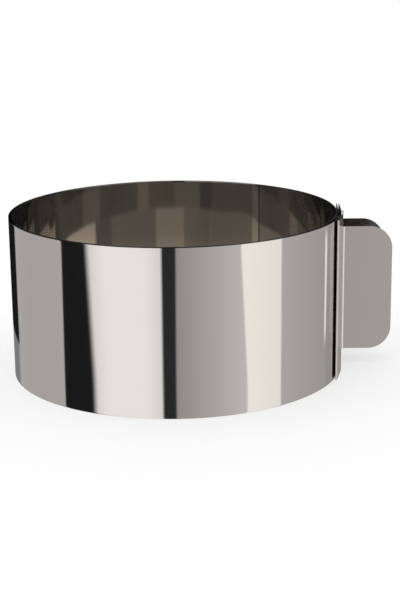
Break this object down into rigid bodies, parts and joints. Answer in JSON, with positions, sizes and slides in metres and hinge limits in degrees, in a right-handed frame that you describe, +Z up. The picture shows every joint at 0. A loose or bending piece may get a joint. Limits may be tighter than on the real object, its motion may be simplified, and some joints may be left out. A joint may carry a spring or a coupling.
{
  "type": "adjustable cake ring",
  "caption": "Adjustable round cake ring: a springy steel strip wound on itself and held by a squeeze clamp with two flat finger grips.",
  "frame": {"origin": "on the ring's axis, on the plane that the ring stands on", "axes": "+Z up along the ring axis; +X outwards through the clamp; +Y from the front grip towards the rear grip"},
  "size_m": [0.202, 0.1731, 0.085],
  "materials": {
    "strip_steel": "polished stainless spring steel",
    "clamp_steel": "polished stainless steel sheet",
    "pin_steel": "drawn stainless wire"
  },
  "bodies": {
    "clamp": {"clamp_plate": "clamp_steel", "band_01": "strip_steel", "pivot_pin": "pin_steel"},
    "lever": {"squeeze_lever": "clamp_steel"},
    "band_02": {"band_02": "strip_steel"},
    "band_03": {"band_03": "strip_steel"},
    "band_04": {"band_04": "strip_steel"},
    "band_05": {"band_05": "strip_steel"},
    "band_06": {"band_06": "strip_steel"},
    "band_07": {"band_07": "strip_steel"},
    "band_08": {"band_08": "strip_steel"},
    "band_09": {"band_09": "strip_steel"},
    "band_10": {"band_10": "strip_steel"},
    "band_11": {"band_11": "strip_steel"},
    "band_12": {"band_12": "strip_steel"},
    "band_13": {"band_13": "strip_steel"},
    "band_14": {"band_14": "strip_steel"},
    "band_15": {"band_15": "strip_steel"},
    "band_16": {"band_16": "strip_steel"},
    "band_17": {"band_17": "strip_steel"},
    "band_18": {"band_18": "strip_steel"},
    "band_19": {"band_19": "strip_steel"},
    "band_20": {"band_20": "strip_steel"},
    "band_21": {"band_21": "strip_steel"},
    "band_22": {"band_22": "strip_steel"},
    "band_23": {"band_23": "strip_steel"},
    "band_24": {"band_24": "strip_steel"},
    "band_25": {"band_25": "strip_steel"},
    "band_26": {"band_26": "strip_steel"},
    "band_27": {"band_27": "strip_steel"},
    "band_28": {"band_28": "strip_steel"},
    "band_29": {"band_29": "strip_steel"},
    "band_30": {"band_30": "strip_steel"},
    "band_31": {"band_31": "strip_steel"},
    "band_32": {"band_32": "strip_steel"},
    "band_33": {"band_33": "strip_steel"},
    "band_34": {"band_34": "strip_steel"},
    "band_35": {"band_35": "strip_steel"},
    "band_36": {"band_36": "strip_steel"},
    "band_37": {"band_37": "strip_steel"},
    "band_38": {"band_38": "strip_steel"},
    "band_39": {"band_39": "strip_steel"},
    "band_40": {"band_40": "strip_steel"}
  },
  "joints": [
    {"name": "lever_squeeze", "type": "hinge", "parent": "clamp", "child": "lever", "pos_m": [0.08714, -0.005, 0], "axis": [0, 0, 1], "range_deg": [-10, 0], "stiffness_Nm_per_rad": 0.3},
    {"name": "ring_size", "type": "hinge", "parent": "clamp", "child": "band_02", "pos_m": [0.08251, -0.02948, 0], "axis": [0, 0, 1], "range_deg": [-1.5, 7.71]},
    {"name": "bend_02", "type": "hinge", "parent": "band_02", "child": "band_03", "pos_m": [0.07062, -0.05101, 0], "axis": [0, 0, 1], "range_deg": [-1.34, 6.86]},
    {"name": "bend_03", "type": "hinge", "parent": "band_03", "child": "band_04", "pos_m": [0.05342, -0.06862, 0], "axis": [0, 0, 1], "range_deg": [-1.35, 6.89]},
    {"name": "bend_04", "type": "hinge", "parent": "band_04", "child": "band_05", "pos_m": [0.03202, -0.08077, 0], "axis": [0, 0, 1], "range_deg": [-1.35, 6.9]},
    {"name": "bend_05", "type": "hinge", "parent": "band_05", "child": "band_06", "pos_m": [0.00807, -0.08643, 0], "axis": [0, 0, 1], "range_deg": [-1.35, 6.91]},
    {"name": "bend_06", "type": "hinge", "parent": "band_06", "child": "band_07", "pos_m": [-0.0165, -0.08515, 0], "axis": [0, 0, 1], "range_deg": [-1.35, 6.92]},
    {"name": "bend_07", "type": "hinge", "parent": "band_07", "child": "band_08", "pos_m": [-0.03972, -0.07702, 0], "axis": [0, 0, 1], "range_deg": [-1.36, 6.93]},
    {"name": "bend_08", "type": "hinge", "parent": "band_08", "child": "band_09", "pos_m": [-0.05972, -0.06268, 0], "axis": [0, 0, 1], "range_deg": [-1.36, 6.95]},
    {"name": "bend_09", "type": "hinge", "parent": "band_09", "child": "band_10", "pos_m": [-0.07488, -0.0433, 0], "axis": [0, 0, 1], "range_deg": [-1.36, 6.96]},
    {"name": "bend_10", "type": "hinge", "parent": "band_10", "child": "band_11", "pos_m": [-0.08397, -0.02044, 0], "axis": [0, 0, 1], "range_deg": [-1.36, 6.97]},
    {"name": "bend_11", "type": "hinge", "parent": "band_11", "child": "band_12", "pos_m": [-0.08625, 0.00406, 0], "axis": [0, 0, 1], "range_deg": [-1.37, 6.98]},
    {"name": "bend_12", "type": "hinge", "parent": "band_12", "child": "band_13", "pos_m": [-0.08153, 0.02821, 0], "axis": [0, 0, 1], "range_deg": [-1.37, 6.99]},
    {"name": "bend_13", "type": "hinge", "parent": "band_13", "child": "band_14", "pos_m": [-0.07018, 0.05004, 0], "axis": [0, 0, 1], "range_deg": [-1.37, 7.01]},
    {"name": "bend_14", "type": "hinge", "parent": "band_14", "child": "band_15", "pos_m": [-0.05312, 0.06778, 0], "axis": [0, 0, 1], "range_deg": [-1.37, 7.02]},
    {"name": "bend_15", "type": "hinge", "parent": "band_15", "child": "band_16", "pos_m": [-0.03175, 0.07996, 0], "axis": [0, 0, 1], "range_deg": [-1.38, 7.03]},
    {"name": "bend_16", "type": "hinge", "parent": "band_16", "child": "band_17", "pos_m": [-0.0078, 0.0856, 0], "axis": [0, 0, 1], "range_deg": [-1.38, 7.04]},
    {"name": "bend_17", "type": "hinge", "parent": "band_17", "child": "band_18", "pos_m": [0.01676, 0.08423, 0], "axis": [0, 0, 1], "range_deg": [-1.38, 7.05]},
    {"name": "bend_18", "type": "hinge", "parent": "band_18", "child": "band_19", "pos_m": [0.03993, 0.07594, 0], "axis": [0, 0, 1], "range_deg": [-1.38, 7.07]},
    {"name": "bend_19", "type": "hinge", "parent": "band_19", "child": "band_20", "pos_m": [0.0598, 0.06143, 0], "axis": [0, 0, 1], "range_deg": [-1.39, 7.08]},
    {"name": "bend_20", "type": "hinge", "parent": "band_20", "child": "band_21", "pos_m": [0.07472, 0.04186, 0], "axis": [0, 0, 1], "range_deg": [-1.39, 7.09]},
    {"name": "bend_21", "type": "hinge", "parent": "band_21", "child": "band_22", "pos_m": [0.08346, 0.01887, 0], "axis": [0, 0, 1], "range_deg": [-1.39, 7.1]},
    {"name": "bend_22", "type": "hinge", "parent": "band_22", "child": "band_23", "pos_m": [0.0853, -0.00567, 0], "axis": [0, 0, 1], "range_deg": [-1.39, 7.12]},
    {"name": "bend_23", "type": "hinge", "parent": "band_23", "child": "band_24", "pos_m": [0.08008, -0.02971, 0], "axis": [0, 0, 1], "range_deg": [-1.4, 7.13]},
    {"name": "bend_24", "type": "hinge", "parent": "band_24", "child": "band_25", "pos_m": [0.06822, -0.05127, 0], "axis": [0, 0, 1], "range_deg": [-1.4, 7.14]},
    {"name": "bend_25", "type": "hinge", "parent": "band_25", "child": "band_26", "pos_m": [0.0507, -0.06854, 0], "axis": [0, 0, 1], "range_deg": [-1.4, 7.15]},
    {"name": "bend_26", "type": "hinge", "parent": "band_26", "child": "band_27", "pos_m": [0.02898, -0.0801, 0], "axis": [0, 0, 1], "range_deg": [-1.4, 7.17]},
    {"name": "bend_27", "type": "hinge", "parent": "band_27", "child": "band_28", "pos_m": [0.00486, -0.08496, 0], "axis": [0, 0, 1], "range_deg": [-1.41, 7.18]},
    {"name": "bend_28", "type": "hinge", "parent": "band_28", "child": "band_29", "pos_m": [-0.01964, -0.08272, 0], "axis": [0, 0, 1], "range_deg": [-1.41, 7.19]},
    {"name": "bend_29", "type": "hinge", "parent": "band_29", "child": "band_30", "pos_m": [-0.04247, -0.07356, 0], "axis": [0, 0, 1], "range_deg": [-1.41, 7.2]},
    {"name": "bend_30", "type": "hinge", "parent": "band_30", "child": "band_31", "pos_m": [-0.06172, -0.05824, 0], "axis": [0, 0, 1], "range_deg": [-1.41, 7.22]},
    {"name": "bend_31", "type": "hinge", "parent": "band_31", "child": "band_32", "pos_m": [-0.07577, -0.03805, 0], "axis": [0, 0, 1], "range_deg": [-1.41, 7.23]},
    {"name": "bend_32", "type": "hinge", "parent": "band_32", "child": "band_33", "pos_m": [-0.08343, -0.01467, 0], "axis": [0, 0, 1], "range_deg": [-1.42, 7.24]},
    {"name": "bend_33", "type": "hinge", "parent": "band_33", "child": "band_34", "pos_m": [-0.08404, 0.00993, 0], "axis": [0, 0, 1], "range_deg": [-1.42, 7.25]},
    {"name": "bend_34", "type": "hinge", "parent": "band_34", "child": "band_35", "pos_m": [-0.07756, 0.03366, 0], "axis": [0, 0, 1], "range_deg": [-1.42, 7.27]},
    {"name": "bend_35", "type": "hinge", "parent": "band_35", "child": "band_36", "pos_m": [-0.06452, 0.05452, 0], "axis": [0, 0, 1], "range_deg": [-1.42, 7.28]},
    {"name": "bend_36", "type": "hinge", "parent": "band_36", "child": "band_37", "pos_m": [-0.04602, 0.07074, 0], "axis": [0, 0, 1], "range_deg": [-1.43, 7.29]},
    {"name": "bend_37", "type": "hinge", "parent": "band_37", "child": "band_38", "pos_m": [-0.02363, 0.08093, 0], "axis": [0, 0, 1], "range_deg": [-1.43, 7.3]},
    {"name": "bend_38", "type": "hinge", "parent": "band_38", "child": "band_39", "pos_m": [0.00075, 0.08423, 0], "axis": [0, 0, 1], "range_deg": [-1.43, 7.32]},
    {"name": "bend_39", "type": "hinge", "parent": "band_39", "child": "band_40", "pos_m": [0.02504, 0.08034, 0], "axis": [0, 0, 1], "range_deg": [-1.43, 7.33]}
  ],
  "couplings": [
    {"joint": "bend_02", "follows": "ring_size", "ratio": 0.8888},
    {"joint": "bend_03", "follows": "ring_size", "ratio": 0.892},
    {"joint": "bend_04", "follows": "ring_size", "ratio": 0.8936},
    {"joint": "bend_05", "follows": "ring_size", "ratio": 0.8951},
    {"joint": "bend_06", "follows": "ring_size", "ratio": 0.8966},
    {"joint": "bend_07", "follows": "ring_size", "ratio": 0.8981},
    {"joint": "bend_08", "follows": "ring_size", "ratio": 0.8997},
    {"joint": "bend_09", "follows": "ring_size", "ratio": 0.9012},
    {"joint": "bend_10", "follows": "ring_size", "ratio": 0.9028},
    {"joint": "bend_11", "follows": "ring_size", "ratio": 0.9043},
    {"joint": "bend_12", "follows": "ring_size", "ratio": 0.9058},
    {"joint": "bend_13", "follows": "ring_size", "ratio": 0.9074},
    {"joint": "bend_14", "follows": "ring_size", "ratio": 0.909},
    {"joint": "bend_15", "follows": "ring_size", "ratio": 0.9105},
    {"joint": "bend_16", "follows": "ring_size", "ratio": 0.9121},
    {"joint": "bend_17", "follows": "ring_size", "ratio": 0.9137},
    {"joint": "bend_18", "follows": "ring_size", "ratio": 0.9152},
    {"joint": "bend_19", "follows": "ring_size", "ratio": 0.9168},
    {"joint": "bend_20", "follows": "ring_size", "ratio": 0.9184},
    {"joint": "bend_21", "follows": "ring_size", "ratio": 0.92},
    {"joint": "bend_22", "follows": "ring_size", "ratio": 0.9216},
    {"joint": "bend_23", "follows": "ring_size", "ratio": 0.9232},
    {"joint": "bend_24", "follows": "ring_size", "ratio": 0.9248},
    {"joint": "bend_25", "follows": "ring_size", "ratio": 0.9264},
    {"joint": "bend_26", "follows": "ring_size", "ratio": 0.9281},
    {"joint": "bend_27", "follows": "ring_size", "ratio": 0.9297},
    {"joint": "bend_28", "follows": "ring_size", "ratio": 0.9313},
    {"joint": "bend_29", "follows": "ring_size", "ratio": 0.933},
    {"joint": "bend_30", "follows": "ring_size", "ratio": 0.9346},
    {"joint": "bend_31", "follows": "ring_size", "ratio": 0.9362},
    {"joint": "bend_32", "follows": "ring_size", "ratio": 0.9379},
    {"joint": "bend_33", "follows": "ring_size", "ratio": 0.9395},
    {"joint": "bend_34", "follows": "ring_size", "ratio": 0.9412},
    {"joint": "bend_35", "follows": "ring_size", "ratio": 0.9429},
    {"joint": "bend_36", "follows": "ring_size", "ratio": 0.9446},
    {"joint": "bend_37", "follows": "ring_size", "ratio": 0.9462},
    {"joint": "bend_38", "follows": "ring_size", "ratio": 0.9479},
    {"joint": "bend_39", "follows": "ring_size", "ratio": 0.9496}
  ]
}
